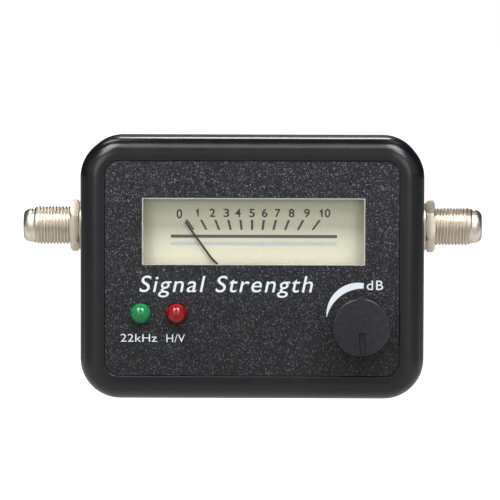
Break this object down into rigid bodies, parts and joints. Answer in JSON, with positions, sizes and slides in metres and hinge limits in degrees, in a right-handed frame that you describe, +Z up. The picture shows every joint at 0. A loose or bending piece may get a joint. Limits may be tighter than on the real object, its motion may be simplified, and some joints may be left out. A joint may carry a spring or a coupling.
{
  "type": "satellite signal meter",
  "caption": "Small upright case with a moving needle meter behind a wide window, signal lamps, a round level knob and a threaded coaxial socket on each side.",
  "frame": {"origin": "point on the flat bottom edge that the case stands on, under the middle of its width, level with the label's middle in depth as given by the seam", "axes": "+X to the right seen from the front, +Y away from the viewer through the back cover, +Z up; the dial faces -Y"},
  "size_m": [0.1112, 0.0362, 0.063],
  "materials": {
    "case_gloss_black": "smooth glossy moulded plastic",
    "label_charcoal": "finely speckled charcoal sheet with pale print",
    "clear_window": "clear moulded styrene",
    "meter_black": "black moulded housing",
    "dial_cream": "printed cream dial card",
    "tinned_wire": "tinned",
    "movement_steel": "bright steel",
    "magnet_grey": "sintered grey",
    "bronze": "phosphor bronze",
    "jewel_red": "ruby",
    "coil_copper": "varnished copper wire",
    "needle_black": "matt black painted aluminium",
    "knob_charcoal": "satin charcoal moulded plastic",
    "pot_steel": "plated steel",
    "wiper_nylon": "nylon",
    "track_brown": "phenolic board",
    "lamp_green": "tinted clear epoxy",
    "lamp_red": "tinted clear epoxy",
    "board_green": "solder mask over glass epoxy",
    "shield_tin": "tinned sheet",
    "chip_black": "moulded package",
    "capacitor_blue": "shrunk plastic sleeve",
    "buzzer_black": "moulded housing",
    "nickel_warm": "nickel plated brass",
    "insulator_white": "white polyethylene",
    "contact_brass": "brass spring contact",
    "screw_dark": "blackened steel"
  },
  "bodies": {
    "meter_body": {"front_cover": "case_gloss_black", "back_cover": "case_gloss_black", "front_label": "label_charcoal", "rear_label": "label_charcoal", "meter_lens": "clear_window", "meter_case": "meter_black", "meter_scale": "dial_cream", "meter_pin_left": "tinned_wire", "meter_pin_right": "tinned_wire", "meter_yoke": "movement_steel", "meter_magnet": "magnet_grey", "core_spacer_upper": "bronze", "core_spacer_lower": "bronze", "hairspring_front": "bronze", "hairspring_back": "bronze", "jewel_front": "jewel_red", "jewel_back": "jewel_red", "bridge_front": "movement_steel", "bridge_back": "movement_steel", "pot_housing": "pot_steel", "pot_track": "track_brown", "pot_washer": "pot_steel", "pot_nut": "pot_steel", "led_green": "lamp_green", "led_red": "lamp_red", "led_green_cathode": "tinned_wire", "led_green_anode": "tinned_wire", "led_red_cathode": "tinned_wire", "led_red_anode": "tinned_wire", "circuit_board": "board_green", "shield_can": "shield_tin", "amplifier_chip": "chip_black", "capacitor_left": "capacitor_blue", "capacitor_right": "capacitor_blue", "buzzer": "buzzer_black", "left_connector_barrel": "nickel_warm", "left_connector_insulator": "insulator_white", "left_connector_contact": "contact_brass", "left_connector_washer": "nickel_warm", "left_connector_nut": "nickel_warm", "right_connector_barrel": "nickel_warm", "right_connector_insulator": "insulator_white", "right_connector_contact": "contact_brass", "right_connector_washer": "nickel_warm", "right_connector_nut": "nickel_warm", "cover_screw_1": "screw_dark", "cover_screw_2": "screw_dark", "cover_screw_3": "screw_dark", "cover_screw_4": "screw_dark", "board_screw_1": "pot_steel", "board_screw_2": "pot_steel"},
    "knob": {"control_knob": "knob_charcoal", "pot_shaft": "pot_steel", "pot_wiper": "wiper_nylon"},
    "needle": {"moving_coil": "coil_copper", "meter_needle": "needle_black", "staff_front": "movement_steel", "staff_back": "movement_steel"}
  },
  "joints": [
    {"name": "knob_turn", "type": "hinge", "parent": "meter_body", "child": "knob", "pos_m": [0.0261, -0.018, 0.01835], "axis": [0, 1, 0], "range_deg": [0, 300]},
    {"name": "needle_swing", "type": "hinge", "parent": "meter_body", "child": "needle", "pos_m": [0.0001, -0.0034, 0.02065], "axis": [0, 1, 0], "range_deg": [0, 72], "stiffness_Nm_per_rad": 0.00001, "springref_deg": -8.59}
  ]
}
